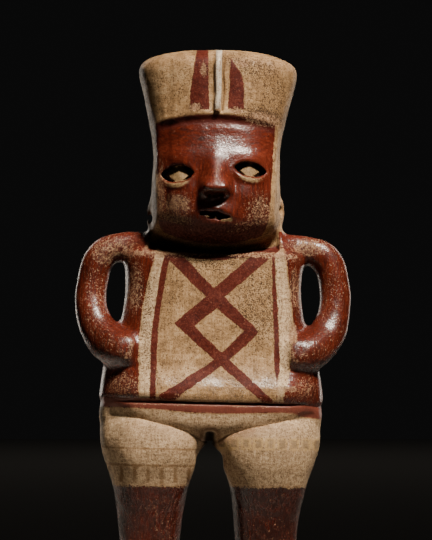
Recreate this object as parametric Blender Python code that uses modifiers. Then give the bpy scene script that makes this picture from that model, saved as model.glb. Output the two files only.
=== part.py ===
"""A standing terracotta figure with looped arms and a tall flared headdress, on a low slab.

Metres, +Z up. The figure looks along -Y and the origin is the middle of the slab's underside.
The figure's own forms are written in hundredths of its height, measured up from the soles and out
from its middle line, the way a modeller marks them on a stick. The slab has sizes of its own.
"""

import math

import bmesh
import bpy
import numpy as np
from mathutils import Matrix, Vector

# Driving sizes, in metres
FIGURE_HEIGHT = 0.385
SLAB_THICKNESS = 0.016
SLAB_MARGIN = 0.007
SLAB_BACK_MARGIN = 0.016
SLAB_CORNER = 0.026
SLAB_EDGE = 0.004
SOLE_SINK = 0.001
LEAN = math.radians(1.3)

# How finely the wet clay is worked, and how many facets the fired solid keeps
CLAY_GRAIN, CLAY_STROKES = 0.0016, 12
CARVED_GRAIN, CARVED_STROKES = 0.0012, 1
CLAY_FACETS = 7700
SHARP_ANGLE = math.radians(40)
SECTION_POINTS = 40
STATION_STEPS = 5
ALMOND_POINTS = 20

# One hundredth of the figure's height, the unit of everything below
PART = FIGURE_HEIGHT / 100

# Levels up the figure
BROW_LEVEL, BROW_ARCH = 88.0, 0.9
CHIN_LEVEL = 66.4
HEM_LEVEL = 40.8
CROTCH_LEVEL = 35.4

# Stations: level, half width, depth in front, depth behind, middle line (across, forward), squareness
HEAD = (
    (66.4, 3.0, 3.4, 2.6, 0.0, 2.6, 2.2),
    (67.2, 6.6, 6.2, 5.4, 0.0, 2.2, 2.3),
    (69.0, 9.6, 8.0, 7.6, 0.0, 1.9, 2.5),
    (71.6, 11.1, 8.8, 8.8, 0.0, 1.8, 2.6),
    (75.5, 11.0, 9.1, 9.2, 0.0, 1.8, 2.6),
    (80.0, 10.7, 9.0, 9.3, 0.0, 1.8, 2.6),
    (84.0, 10.8, 8.8, 9.2, 0.0, 1.8, 2.5),
    (88.0, 11.5, 8.8, 9.0, 0.0, 1.7, 2.4),
    (92.5, 12.5, 8.9, 8.8, 0.0, 1.6, 2.3),
    (96.2, 13.4, 9.0, 8.7, 0.0, 1.5, 2.3),
    (97.7, 13.2, 8.8, 8.5, 0.0, 1.5, 2.3),
    (99.0, 11.6, 7.6, 7.4, 0.0, 1.5, 2.2),
    (100.0, 8.0, 5.2, 5.0, 0.0, 1.5, 2.0),
    (100.4, 2.0, 1.2, 1.2, 0.0, 1.5, 2.0),
)
NECK = (
    (60.0, 12.0, 5.0, 5.2, 0.0, 0.0, 2.3),
    (66.0, 12.4, 5.4, 6.0, 0.0, 0.3, 2.3),
    (69.4, 11.8, 5.6, 6.6, 0.0, 0.7, 2.3),
    (73.0, 10.2, 6.0, 6.8, 0.0, 1.2, 2.3),
)
TORSO = (
    (35.4, 16.5, 6.0, 6.4, 0.0, 0.0, 2.4),
    (37.6, 18.7, 7.6, 7.9, 0.0, 0.0, 2.7),
    (40.8, 18.7, 8.2, 8.2, 0.0, 0.1, 2.9),
    (44.5, 18.6, 8.0, 7.6, 0.0, 0.2, 3.0),
    (48.5, 17.8, 7.7, 7.2, 0.0, 0.2, 3.0),
    (53.5, 15.8, 7.4, 7.0, 0.0, 0.2, 2.9),
    (58.5, 15.0, 7.1, 6.9, 0.0, 0.2, 2.8),
    (62.5, 15.0, 6.8, 6.6, 0.0, 0.1, 2.7),
    (66.0, 15.2, 5.8, 5.8, 0.0, 0.0, 2.6),
    (68.6, 13.4, 4.4, 4.8, 0.0, 0.0, 2.4),
    (70.0, 10.0, 2.8, 3.4, 0.0, 0.0, 2.2),
)
LEG = (
    (0.0, 3.6, 3.4, 4.4, 9.8, 0.0, 2.4),
    (5.6, 3.5, 3.6, 4.0, 9.8, 0.0, 2.1),
    (10.5, 4.1, 4.1, 4.4, 9.8, 0.0, 2.1),
    (17.7, 5.1, 5.0, 5.2, 9.8, 0.1, 2.2),
    (23.0, 5.7, 5.9, 6.1, 9.85, 0.1, 2.3),
    (27.5, 6.6, 6.7, 6.8, 9.9, 0.2, 2.4),
    (31.0, 7.9, 7.5, 7.5, 9.85, 0.3, 2.4),
    (34.0, 9.0, 7.8, 7.8, 9.6, 0.2, 2.4),
    (37.2, 9.2, 7.2, 7.4, 9.3, 0.1, 2.4),
    (40.0, 8.2, 5.0, 5.4, 9.4, 0.1, 2.3),
)

# The foot: distance forward of the heel's middle, half width, height. The heel's middle lies
# behind the leg's, and the turned-out toes spread the foot's width.
HEEL_BACK = 3.5
FOOT_TURN = math.radians(7)
FOOT_SPLAY = 1.4
FOOT = (
    (-0.6, 2.2, 3.2),
    (0.8, 3.5, 5.2),
    (4.0, 4.0, 6.2),
    (8.0, 4.6, 5.0),
    (11.5, 5.2, 3.4),
    (14.0, 5.0, 2.6),
    (15.3, 3.8, 1.8),
)
TOES = 5
TOE_ROOT = 11.4
TOE_GROOVE_HALF, TOE_GROOVE_DEPTH = 0.4, 0.8

# The arm: across, level, forward, thickness from its middle
ARM = (
    (9.0, 67.2, 0.0, 2.6),
    (15.2, 67.2, 0.0, 2.45),
    (19.2, 65.4, -0.2, 2.7),
    (20.6, 60.5, -0.4, 2.7),
    (20.5, 56.0, 0.2, 2.8),
    (18.9, 52.2, 1.5, 3.2),
    (16.4, 49.9, 4.2, 3.3),
    (13.4, 49.3, 6.2, 2.8),
    (12.4, 49.2, 6.9, 1.9),
)

# The face, below the headdress's edge
FACE_HALF_WIDTH = 9.6
FACE_SET_BACK = 0.55
NOSE_TOP, NOSE_TIP, NOSE_FOOT = 82.0, 76.0, 74.4
NOSE_HEIGHT = 3.1
NOSE_TOP_HALF, NOSE_TIP_HALF = 1.3, 2.1
EYE_LEVEL, EYE_ACROSS = 79.4, 6.0
EYE_HALF_WIDTH, EYE_HALF_HEIGHT = 2.7, 1.3
EYE_DEPTH = 1.5
LID_WIDTH, LID_HEIGHT = 0.42, 0.32
PELLET_HALF_WIDTH, PELLET_HALF_HEIGHT, PELLET_DROP = 1.3, 0.95, 0.15
PELLET_SHARE_OF_DEPTH, PELLET_SINK = 0.8, 0.13
MOUTH_LEVEL = 71.9
MOUTH_HALF_WIDTH, MOUTH_HALF_HEIGHT = 2.6, 0.8
MOUTH_DEPTH = 1.6
LIP_HEIGHT, LIP_HALF = 0.8, (3.6, 1.9)
CHEEK_HEIGHT, CHEEK_MIDDLE, CHEEK_HALF = 0.5, (5.8, 75.6), (3.0, 2.6)
BROW_HEIGHT, BROW_MIDDLE, BROW_HALF = 0.35, (6.0, 81.8), (3.6, 0.9)

# The ears: flat lobes at the jaw, each pierced from front to back
EAR_LEVEL, EAR_ACROSS, EAR_FORWARD = 73.2, 10.9, 1.2
EAR_HALF = (1.1, 1.7, 2.7)
EAR_HOLE_ACROSS = 11.3
EAR_HOLE_HALF_WIDTH, EAR_HOLE_HALF_HEIGHT = 0.42, 0.85
EAR_HOLE_BACK = -3.0

# How far a cutter reaches forward from where its cut ends
CUT_REACH = 8.0

# The headdress's upright fillet, between two grooves
FILLET_HALF_WIDTH, FILLET_HEIGHT = 0.65, 0.5
FILLET_GROOVE_HALF, FILLET_GROOVE_DEPTH = 0.3, 0.4
FILLET_FOOT = 89.4

# The tunic's hem and the folds from the hips to the crotch
HEM_STEP, HEM_GROOVE_HALF, HEM_GROOVE_DEPTH = 0.2, 0.3, 0.3
FOLD_TOP = (16.5, 39.0)
FOLD_FOOT = (1.2, 35.6)
FOLD_HALF_WIDTH, FOLD_DEPTH = 0.9, 0.8


def clear_scene():
    """Remove what the startup scene holds."""
    for obj in list(bpy.data.objects):
        bpy.data.objects.remove(obj, do_unlink=True)


def new_collection(name):
    """Make a collection in the scene."""
    collection = bpy.data.collections.new(name)
    bpy.context.scene.collection.children.link(collection)
    return collection


def mesh_object(name, bm, collection):
    """Turn a bmesh into an object and free it."""
    mesh = bpy.data.meshes.new(name)
    bm.to_mesh(mesh)
    bm.free()
    obj = bpy.data.objects.new(name, mesh)
    collection.objects.link(obj)
    return obj


def evaluated_copy(obj, name, collection):
    """A plain mesh object of what the modifiers or the curve make, with the original removed."""
    bpy.context.view_layer.update()
    graph = bpy.context.evaluated_depsgraph_get()
    mesh = bpy.data.meshes.new_from_object(obj.evaluated_get(graph))
    copy = bpy.data.objects.new(name, mesh)
    copy.matrix_world = obj.matrix_world
    bpy.data.objects.remove(obj, do_unlink=True)
    collection.objects.link(copy)
    return copy


def smooth_rows(rows):
    """Rows between the given ones, on a smooth curve through them all."""
    rows = np.array(rows, float)
    padded = np.vstack([2 * rows[0] - rows[1], rows, 2 * rows[-1] - rows[-2]])
    between = []
    for index in range(len(rows) - 1):
        before, start, end, after = padded[index : index + 4]
        for share in np.linspace(0, 1, STATION_STEPS, endpoint=False):
            slope = end - before
            bend = 2 * before - 5 * start + 4 * end - after
            twist = 3 * start - before - 3 * end + after
            between.append(start + (slope * share + bend * share**2 + twist * share**3) / 2)
    between.append(rows[-1])
    return np.array(between)


def rounded(angle, squareness):
    """A point on a superellipse of unit size: 2 is an ellipse, more is squarer."""
    cosine, sine = math.cos(angle), math.sin(angle)
    power = 2 / squareness
    return (
        math.copysign(abs(cosine) ** power, cosine),
        math.copysign(abs(sine) ** power, sine),
    )


def loft(name, stations, collection, side=1):
    """A closed form through level sections. side is -1 for the one on the other side of the body."""
    bm = bmesh.new()
    rings = []
    for level, half, front, back, across, forward, squareness in smooth_rows(stations):
        ring = []
        for index in range(SECTION_POINTS):
            right, rear = rounded(index * math.tau / SECTION_POINTS, squareness)
            reach = back if rear > 0 else front
            place = Vector((side * across + right * half, rear * reach - forward, level))
            ring.append(bm.verts.new(place * PART))
        rings.append(ring)
    for lower, upper in zip(rings, rings[1:]):
        for index in range(SECTION_POINTS):
            after = (index + 1) % SECTION_POINTS
            bm.faces.new((lower[index], lower[after], upper[after], upper[index]))
    bm.faces.new(reversed(rings[0]))
    bm.faces.new(rings[-1])
    return mesh_object(name, bm, collection)


def limb(name, path, collection, side):
    """A rolled coil of clay along a smooth path, as thick at each point as the path says."""
    curve = bpy.data.curves.new(name, "CURVE")
    curve.dimensions = "3D"
    curve.bevel_depth = PART
    curve.bevel_resolution = 6
    curve.use_fill_caps = True
    spline = curve.splines.new("POLY")
    rows = smooth_rows(path)
    spline.points.add(len(rows) - 1)
    for point, (across, level, forward, thickness) in zip(spline.points, rows):
        point.co = (side * across * PART, -forward * PART, level * PART, 1)
        point.radius = thickness
    obj = bpy.data.objects.new(name, curve)
    collection.objects.link(obj)
    obj = evaluated_copy(obj, name, collection)
    bm = bmesh.new()
    bm.from_mesh(obj.data)
    bmesh.ops.remove_doubles(bm, verts=bm.verts, dist=1e-5)
    bmesh.ops.recalc_face_normals(bm, faces=bm.faces)
    bm.to_mesh(obj.data)
    bm.free()
    return obj


def ellipsoid(name, middle, half_sizes, collection):
    """An egg of clay: where its middle is and half its size each way."""
    bm = bmesh.new()
    bmesh.ops.create_uvsphere(bm, u_segments=24, v_segments=16, radius=1)
    place = Matrix.Translation(Vector(middle) * PART) @ Matrix.Diagonal(
        (*(Vector(half_sizes) * PART), 1)
    )
    bm.transform(place)
    return mesh_object(name, bm, collection)


def foot(name, collection, side):
    """A short foot with a rounded instep, turned a little outwards, its sole flat."""
    bm = bmesh.new()
    rings = []
    for ahead, half, height in smooth_rows(FOOT):
        ring = []
        for index in range(SECTION_POINTS):
            angle = index * math.tau / SECTION_POINTS
            right, up = rounded(angle, 2.5)
            ring.append(bm.verts.new((right * half, -ahead, max(0.0, up) * height)))
        rings.append(ring)
    for nearer, farther in zip(rings, rings[1:]):
        for index in range(SECTION_POINTS):
            after = (index + 1) % SECTION_POINTS
            bm.faces.new((nearer[index], nearer[after], farther[after], farther[index]))
    bm.faces.new(reversed(rings[0]))
    bm.faces.new(rings[-1])
    bmesh.ops.recalc_face_normals(bm, faces=bm.faces)
    bm.transform(foot_place(side))
    return mesh_object(name, bm, collection)


def foot_place(side):
    """Where a foot's own frame lies: its heel under the leg, its toes turned out."""
    leg_across = LEG[0][4]
    return (
        Matrix.Diagonal((PART, PART, PART, 1))
        @ Matrix.Translation((side * leg_across, HEEL_BACK, 0))
        @ Matrix.Rotation(side * FOOT_TURN, 4, "Z")
    )


def join(objects, name):
    """Join meshes into one object."""
    with bpy.context.temp_override(active_object=objects[0], selected_editable_objects=objects):
        bpy.ops.object.join()
    objects[0].name = name
    return objects[0]


def knead(obj, name, collection, grain, strokes):
    """Work overlapping masses into one skin, then smooth it with that many strokes."""
    remesh = obj.modifiers.new("one_skin", "REMESH")
    remesh.mode = "VOXEL"
    remesh.voxel_size = grain
    smooth = obj.modifiers.new("smoothed", "SMOOTH")
    smooth.factor = 0.5
    smooth.iterations = strokes
    return evaluated_copy(obj, name, collection)


def step(value, start, end):
    """0 before start, 1 after end, and a smooth rise between."""
    share = np.clip((value - start) / (end - start), 0, 1)
    return share * share * (3 - 2 * share)


def hump(value, half_width):
    """A rounded ridge of unit height round zero."""
    return np.exp(-((value / half_width) ** 2))


def swelling(across, level, middle, half):
    """A rounded swelling of unit height round a place on the front."""
    return hump(across - middle[0], half[0]) * hump(level - middle[1], half[1])


def almond(across, up, half_width, half_height):
    """Distance outside an almond outline, in hundredths; below zero inside it."""
    return (np.abs(up) / half_height + (across / half_width) ** 2 - 1) * half_height


def from_line(across, level, start, end):
    """Distance from a straight line on the front, in hundredths."""
    start, end = np.array(start), np.array(end)
    way = end - start
    offset = np.stack([across - start[0], level - start[1]], axis=1)
    share = np.clip(offset @ way / (way @ way), 0, 1)
    return np.linalg.norm(offset - share[:, None] * way, axis=1)


def brow_edge(across):
    """Level of the headdress's lower edge, which arches over the forehead."""
    return BROW_LEVEL + BROW_ARCH * (0.5 - (across / FACE_HALF_WIDTH) ** 2)


def face_relief(across, level):
    """How far the face stands forward of the plain head, in hundredths."""
    sideways = np.abs(across)
    inside = step(FACE_HALF_WIDTH - sideways, -0.4, 0.8) * step(brow_edge(across) - level, 0, 0.35)
    relief = -FACE_SET_BACK * inside * step(level, CHIN_LEVEL + 1, CHIN_LEVEL + 4)
    down = np.clip((NOSE_TOP - level) / (NOSE_TOP - NOSE_TIP), 0, 1)
    half = NOSE_TOP_HALF + (NOSE_TIP_HALF - NOSE_TOP_HALF) * down
    nose = NOSE_HEIGHT * down**1.2 * step(level, NOSE_FOOT - 0.5, NOSE_TIP) * hump(sideways, half)
    cheeks = CHEEK_HEIGHT * swelling(sideways, level, CHEEK_MIDDLE, CHEEK_HALF)
    lips = LIP_HEIGHT * swelling(sideways, level, (0, MOUTH_LEVEL), LIP_HALF)
    brows = BROW_HEIGHT * swelling(sideways, level, BROW_MIDDLE, BROW_HALF)
    eye = almond(sideways - EYE_ACROSS, level - EYE_LEVEL, EYE_HALF_WIDTH, EYE_HALF_HEIGHT)
    lids = LID_HEIGHT * hump(eye - LID_WIDTH / 2, LID_WIDTH)
    return relief + nose + cheeks + lips + brows + lids


def headdress_relief(across, level):
    """The fillet up the headdress's front and the groove on each side of it."""
    above = step(level, FILLET_FOOT, FILLET_FOOT + 0.6)
    fillet = FILLET_HEIGHT * hump(across, FILLET_HALF_WIDTH)
    beside = np.abs(across) - 2 * FILLET_HALF_WIDTH
    grooves = FILLET_GROOVE_DEPTH * hump(beside, FILLET_GROOVE_HALF)
    return above * (fillet - grooves)


def folds(across, level):
    """The folds that run from the hips down to the crotch."""
    line = from_line(np.abs(across), level, FOLD_TOP, FOLD_FOOT)
    return -FOLD_DEPTH * hump(line, FOLD_HALF_WIDTH)


def hem(level):
    """The tunic's thickness over the hips, with the line cut along its edge."""
    cloth = HEM_STEP * step(level, HEM_LEVEL - 0.25, HEM_LEVEL + 0.25)
    fade = step(HEM_LEVEL + 5.5 - level, 0, 5)
    return cloth * fade - HEM_GROOVE_DEPTH * hump(level - HEM_LEVEL, HEM_GROOVE_HALF)


def toe_grooves(places, side):
    """How deep the grooves between the toes of one foot are at each point, in hundredths."""
    to_foot = np.array(foot_place(side).inverted())
    local = places @ to_foot[:3, :3].T + to_foot[:3, 3]
    half = max(row[1] for row in FOOT)
    pitch = 2 * half / TOES
    grooves = np.zeros(len(places))
    for index in range(1, TOES):
        grooves += hump(local[:, 0] + half - index * pitch, TOE_GROOVE_HALF)
    on_toes = step(-local[:, 1], TOE_ROOT, TOE_ROOT + 1.5) * step(half - np.abs(local[:, 0]), 0, 0.5)
    return TOE_GROOVE_DEPTH * grooves * on_toes


def carve(obj):
    """Model the face, headdress, hem and folds on the smoothed skin."""
    mesh = obj.data
    places = np.empty(len(mesh.vertices) * 3, np.float32)
    normals = np.empty(len(mesh.vertices) * 3, np.float32)
    mesh.vertices.foreach_get("co", places)
    mesh.vertices.foreach_get("normal", normals)
    places, normals = places.reshape(-1, 3).astype(float), normals.reshape(-1, 3)
    across, level = places[:, 0] / PART, places[:, 2] / PART
    facing = step(-normals[:, 1], 0.15, 0.6)
    on_head = step(level, CHIN_LEVEL - 1, CHIN_LEVEL + 2)
    on_hips = step(level, CROTCH_LEVEL - 3, CROTCH_LEVEL) * step(HEM_LEVEL - level, 0, 0.5)
    forward = facing * (
        on_head * face_relief(across, level)
        + headdress_relief(across, level)
        + on_hips * folds(across, level)
    )
    on_top = step(normals[:, 2], -0.3, 0.2)
    outward = hem(level) - on_top * (toe_grooves(places, -1) + toe_grooves(places, 1))
    places[:, 1] -= forward * PART
    places += normals * (outward * PART)[:, None]
    mesh.vertices.foreach_set("co", places.astype(np.float32).ravel())
    mesh.update()


def almond_cutter(name, middle, half_width, half_height, back, collection):
    """A bar of almond section that reaches forward out of the face from a given depth."""
    curve = bpy.data.curves.new(name, "CURVE")
    curve.dimensions = "2D"
    curve.fill_mode = "BOTH"
    curve.extrude = CUT_REACH * PART / 2
    spline = curve.splines.new("POLY")
    spline.points.add(ALMOND_POINTS - 1)
    for index, point in enumerate(spline.points):
        angle = index * math.tau / ALMOND_POINTS
        right = math.cos(angle)
        up = math.copysign(1 - right**2, math.sin(angle))
        point.co = (right * half_width * PART, up * half_height * PART, 0, 1)
    spline.use_cyclic_u = True
    obj = bpy.data.objects.new(name, curve)
    across, level = middle
    ahead = back + CUT_REACH / 2
    obj.matrix_world = Matrix.Translation(Vector((across, -ahead, level)) * PART) @ Matrix.Rotation(
        math.radians(90), 4, "X"
    )
    collection.objects.link(obj)
    obj = evaluated_copy(obj, name, collection)
    bm = bmesh.new()
    bm.from_mesh(obj.data)
    bmesh.ops.remove_doubles(bm, verts=bm.verts, dist=1e-6)
    bmesh.ops.recalc_face_normals(bm, faces=bm.faces)
    bm.to_mesh(obj.data)
    bm.free()
    return obj


def as_helper(obj):
    """Keep a cutter or an added lump out of the model itself."""
    obj.hide_render = True
    obj.display_type = "WIRE"
    return obj


def boolean(obj, other, operation):
    """Cut or join one mesh by another."""
    modifier = obj.modifiers.new(f"{operation.lower()}_{other.name}", "BOOLEAN")
    modifier.operation = operation
    modifier.object = as_helper(other)


def face_front(across, level):
    """How far forward the plain head lies at a place on its front, in hundredths."""
    rows = np.array(HEAD)
    half, front, forward, squareness = (
        np.interp(level, rows[:, 0], rows[:, column]) for column in (1, 2, 5, 6)
    )
    share = (1 - abs(across / half) ** squareness) ** (1 / squareness)
    return share * front + forward - FACE_SET_BACK


def slab_size():
    """Width and depth of the low slab: the feet have a margin all round, wider behind the heels."""
    leg_across, foot_half = LEG[0][4], max(row[1] for row in FOOT)
    foot_length = FOOT[-1][0] - FOOT[0][0]
    width = 2 * (leg_across + foot_half + FOOT_SPLAY) * PART + 2 * SLAB_MARGIN
    depth = foot_length * PART + SLAB_MARGIN + SLAB_BACK_MARGIN
    return width, depth


def slab(name, collection):
    """The low slab under the feet: its middle is the origin, its underside is flat."""
    width, depth = slab_size()
    bm = bmesh.new()
    bmesh.ops.create_cube(bm, size=1)
    bm.transform(
        Matrix.Translation((0, 0, SLAB_THICKNESS / 2))
        @ Matrix.Diagonal((width, depth, SLAB_THICKNESS, 1))
    )
    upright = [e for e in bm.edges if abs(e.verts[0].co.z - e.verts[1].co.z) > SLAB_THICKNESS / 2]
    bmesh.ops.bevel(bm, geom=upright, offset=SLAB_CORNER, segments=8, affect="EDGES", profile=0.5)
    rim = [e for e in bm.edges if min(v.co.z for v in e.verts) > SLAB_THICKNESS * 0.99]
    bmesh.ops.bevel(bm, geom=rim, offset=SLAB_EDGE, segments=3, affect="EDGES", profile=0.5)
    return mesh_object(name, bm, collection)


def stand(obj):
    """Lean the figure as the modeller left it, and stand it on the slab, clear of its edges."""
    depth = slab_size()[1]
    toes_ahead = (FOOT[-1][0] - HEEL_BACK) * PART
    back = toes_ahead - (depth / 2 - SLAB_MARGIN)
    onto = Matrix.Translation((0, back, SLAB_THICKNESS - SOLE_SINK))
    obj.data.transform(onto @ Matrix.Rotation(LEAN, 4, "Y"))


def slip_material():
    """Burnished iron-red slip over buff clay."""
    material = bpy.data.materials.new("burnished_slip")
    material.use_nodes = True
    shader = material.node_tree.nodes["Principled BSDF"]
    shader.inputs["Base Color"].default_value = (0.42, 0.17, 0.085, 1)
    shader.inputs["Roughness"].default_value = 0.38
    shader.inputs["Metallic"].default_value = 0.0
    return material


def body_masses(collection):
    """The lumps and coils that the figure is built up from, before they are worked together."""
    masses = [
        loft("head", HEAD, collection),
        loft("neck", NECK, collection),
        loft("torso", TORSO, collection),
    ]
    for side, word in ((-1, "right"), (1, "left")):
        masses.append(loft(f"leg_{word}", LEG, collection, side))
        masses.append(limb(f"arm_{word}", ARM, collection, side))
        masses.append(foot(f"foot_{word}", collection, side))
        ear = (side * EAR_ACROSS, -EAR_FORWARD, EAR_LEVEL)
        masses.append(ellipsoid(f"ear_{word}", ear, EAR_HALF, collection))
    return masses


def build():
    clear_scene()
    model = new_collection("terracotta_figure")
    helpers = new_collection("cutters")
    clay = join(body_masses(helpers), "clay")
    clay = knead(clay, "clay", helpers, CLAY_GRAIN, CLAY_STROKES)
    carve(clay)
    clay = knead(clay, "clay", helpers, CARVED_GRAIN, CARVED_STROKES)
    facets = 2 * len(clay.data.polygons)
    thin = clay.modifiers.new("fewer_facets", "DECIMATE")
    thin.ratio = CLAY_FACETS / facets
    clay = evaluated_copy(clay, "figure", model)
    for side, word in ((-1, "right"), (1, "left")):
        front = face_front(EYE_ACROSS, EYE_LEVEL)
        middle = (side * EYE_ACROSS, EYE_LEVEL)
        size = (EYE_HALF_WIDTH, EYE_HALF_HEIGHT)
        cutter = almond_cutter(f"eye_{word}", middle, *size, front - EYE_DEPTH, helpers)
        boolean(clay, cutter, "DIFFERENCE")
        ahead = front - EYE_DEPTH - PELLET_SINK
        pellet_place = (side * EYE_ACROSS, -ahead, EYE_LEVEL - PELLET_DROP)
        pellet_size = (PELLET_HALF_WIDTH, EYE_DEPTH * PELLET_SHARE_OF_DEPTH, PELLET_HALF_HEIGHT)
        pellet = ellipsoid(f"pellet_{word}", pellet_place, pellet_size, helpers)
        boolean(clay, pellet, "UNION")
        hole = almond_cutter(
            f"ear_hole_{word}",
            (side * EAR_HOLE_ACROSS, EAR_LEVEL),
            EAR_HOLE_HALF_WIDTH,
            EAR_HOLE_HALF_HEIGHT,
            EAR_HOLE_BACK,
            helpers,
        )
        boolean(clay, hole, "DIFFERENCE")
    mouth = almond_cutter(
        "mouth",
        (0, MOUTH_LEVEL),
        MOUTH_HALF_WIDTH,
        MOUTH_HALF_HEIGHT,
        face_front(0, MOUTH_LEVEL) + LIP_HEIGHT - MOUTH_DEPTH,
        helpers,
    )
    boolean(clay, mouth, "DIFFERENCE")
    figure = evaluated_copy(clay, "figure", model)
    stand(figure)
    boolean(figure, slab("slab", helpers), "UNION")
    figure = evaluated_copy(figure, "figure", model)
    figure.data.materials.clear()
    figure.data.materials.append(slip_material())
    figure.data.shade_smooth()
    figure.data.set_sharp_from_angle(angle=SHARP_ANGLE)
    for helper in helpers.objects:
        as_helper(helper)


build()
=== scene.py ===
"""A hollow terracotta figure, slipped in red and cream and burnished, on its low slab."""

import math

import bpy
import numpy as np
from mathutils import Matrix, Vector, noise


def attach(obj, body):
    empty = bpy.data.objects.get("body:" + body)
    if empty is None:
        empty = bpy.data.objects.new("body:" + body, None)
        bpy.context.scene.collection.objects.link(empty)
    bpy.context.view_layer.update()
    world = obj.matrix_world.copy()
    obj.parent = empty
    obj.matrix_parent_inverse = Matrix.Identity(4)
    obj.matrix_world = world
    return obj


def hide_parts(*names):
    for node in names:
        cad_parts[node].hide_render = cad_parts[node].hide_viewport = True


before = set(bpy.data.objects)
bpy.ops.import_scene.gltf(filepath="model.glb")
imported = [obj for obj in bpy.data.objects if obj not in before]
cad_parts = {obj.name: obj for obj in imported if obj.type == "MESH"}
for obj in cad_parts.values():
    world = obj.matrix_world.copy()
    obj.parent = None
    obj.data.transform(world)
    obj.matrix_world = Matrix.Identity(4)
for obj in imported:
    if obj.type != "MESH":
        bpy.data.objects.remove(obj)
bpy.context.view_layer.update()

# Lengths on the figure are in hundredths of its height, measured up from the soles and out from
# its middle line: across to its left, back behind it, and level up it. It leans a little.
PART = 0.00385
SOLES = Vector((0, 0.0103, 0.015))
LEAN = math.radians(1.3)

# Spacing of the skin's points, in metres, before the carved places are made finer
SKIN = 0.0012
# The most triangles that the finished skin keeps
TRIANGLES = 185000

# The photograph's height in pixels, and the width of one of its pixels on the figure: the
# figure's 0.385 m would cover 593 of them
FRAME_PIXELS = 540
PIXEL = 0.385 / 593

# The outputs of two nodes that have several: Object of Texture Coordinate, Fac of Attribute
OBJECT_OUTPUT, FACTOR_OUTPUT = 3, 2

# The face, a little uneven from hand to hand. Eyes and mouth: across, level, half sizes, rise to
# its left. Pellets: across, level, half sizes
EYES = ((-6.35, 78.7, 2.75, 1.5, 0.04), (5.65, 79.65, 2.7, 1.3, -0.09))
PELLETS = ((-6.15, 78.6, 2.15, 2.3), (5.6, 79.4, 1.8, 1.75))
MOUTH = (-0.15, 71.75, 2.45, 0.72, -0.08)
# How much fuller the face is than the solid's at each level: level, forward
MASK = (
    (65.2, 0.0), (66.0, -1.2), (66.8, -1.8), (67.4, -1.4), (68.2, -0.6), (69.2, 0.2),
    (70.4, 0.8), (71.6, 1.05), (73.0, 1.2), (75.0, 1.3), (79.0, 1.15), (81.0, 1.1),
    (82.5, 0.95), (84.0, 0.65), (85.5, 0.35), (86.5, 0.28), (87.6, 0.25), (88.6, 0.0),
)
# How much fuller the chest and the flare over the hem are: level, forward
CHEST = (
    (40.9, 0.0), (41.3, 0.85), (42.2, 1.1), (43.4, 1.05), (45, 0.55), (47, 0.15), (49, 0.0),
    (60, 0.0), (62.5, 0.25), (64, 0.55), (65.4, 0.85), (66.2, 0.6), (67.2, 0.1),
)
# How much fuller the belly is under the hem: level, forward. The thighs: forward
BELLY = ((34, 1.3), (36, 1.2), (38, 1.05), (39, 0.9), (41, 0.9))
THIGHS = 1.05
# The headdress's lower edge: its level, how much it arches, and how far it runs to each side
BROW_LEVEL, BROW_ARCH, FACE_HALF_WIDTH = 88.0, 1.2, 9.6
# The level of the nose's foot
NOSE_FOOT = 74.95
# The ears' holes: across, level
EAR_HOLES = ((-11.2, 73.2), (11.2, 73.2))

# The arm's middle line and its thickness there: across, level, forward, thickness
ARM = (
    (15.2, 67.2, 0.0, 2.45),
    (19.2, 65.4, -0.2, 2.7),
    (20.6, 60.5, -0.4, 2.7),
    (20.5, 56.0, 0.2, 2.8),
    (18.9, 52.2, 1.5, 3.2),
    (16.4, 49.9, 4.2, 3.3),
    (13.4, 49.3, 6.2, 2.8),
    (12.4, 49.2, 6.9, 1.9),
)

# The tunic's hem, as the painter drew it across the front, and its level behind
HEM = ((-19, 41.6), (-11.7, 41.4), (0.7, 40.9), (13.2, 41.1), (15, 40.9), (19, 40.4))
HEM_BEHIND = 40.8
# The creases between belly and thighs, from the hip inwards: across, level
CREASE_ON_LEFT = ((-14.0, 38.2), (-0.9, 35.3))
CREASE_ON_RIGHT = ((11.5, 37.6), (0.9, 35.0))


def only(obj):
    """Leave one object selected and active."""
    bpy.ops.object.select_all(action="DESELECT")
    obj.select_set(True)
    bpy.context.view_layer.objects.active = obj


def apply_modifier(obj, kind, **settings):
    """Add a modifier, set it, and apply it."""
    only(obj)
    modifier = obj.modifiers.new(kind.lower(), kind)
    for name, value in settings.items():
        setattr(modifier, name, value)
    bpy.ops.object.modifier_apply(modifier=modifier.name)


def figure_frame(inverse=False):
    """From metres in the row's frame to hundredths in the figure's own upright frame, or back."""
    onto = Matrix.Translation(SOLES) @ Matrix.Rotation(LEAN, 4, "Y") @ Matrix.Scale(PART, 4)
    return np.array(onto if inverse else onto.inverted())


def read_points(mesh):
    """Where the points are, in the figure's frame."""
    flat = np.empty(len(mesh.vertices) * 3, np.float32)
    mesh.vertices.foreach_get("co", flat)
    matrix = figure_frame()
    return flat.reshape(-1, 3).astype(float) @ matrix[:3, :3].T + matrix[:3, 3]


def write_points(mesh, points):
    """Put the points back where the figure's frame has them."""
    matrix = figure_frame(inverse=True)
    flat = points @ matrix[:3, :3].T + matrix[:3, 3]
    mesh.vertices.foreach_set("co", flat.astype(np.float32).ravel())
    mesh.update()


def read_normals(mesh):
    """Which way the skin faces at each point, in the figure's frame."""
    flat = np.empty(len(mesh.vertices) * 3, np.float32)
    mesh.vertices.foreach_get("normal", flat)
    turn = figure_frame()[:3, :3] * PART
    return flat.reshape(-1, 3).astype(float) @ turn.T


def read_edges(mesh):
    """The two points that each edge joins."""
    flat = np.empty(len(mesh.edges) * 2, np.int32)
    mesh.edges.foreach_get("vertices", flat)
    return flat.reshape(-1, 2)


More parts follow.
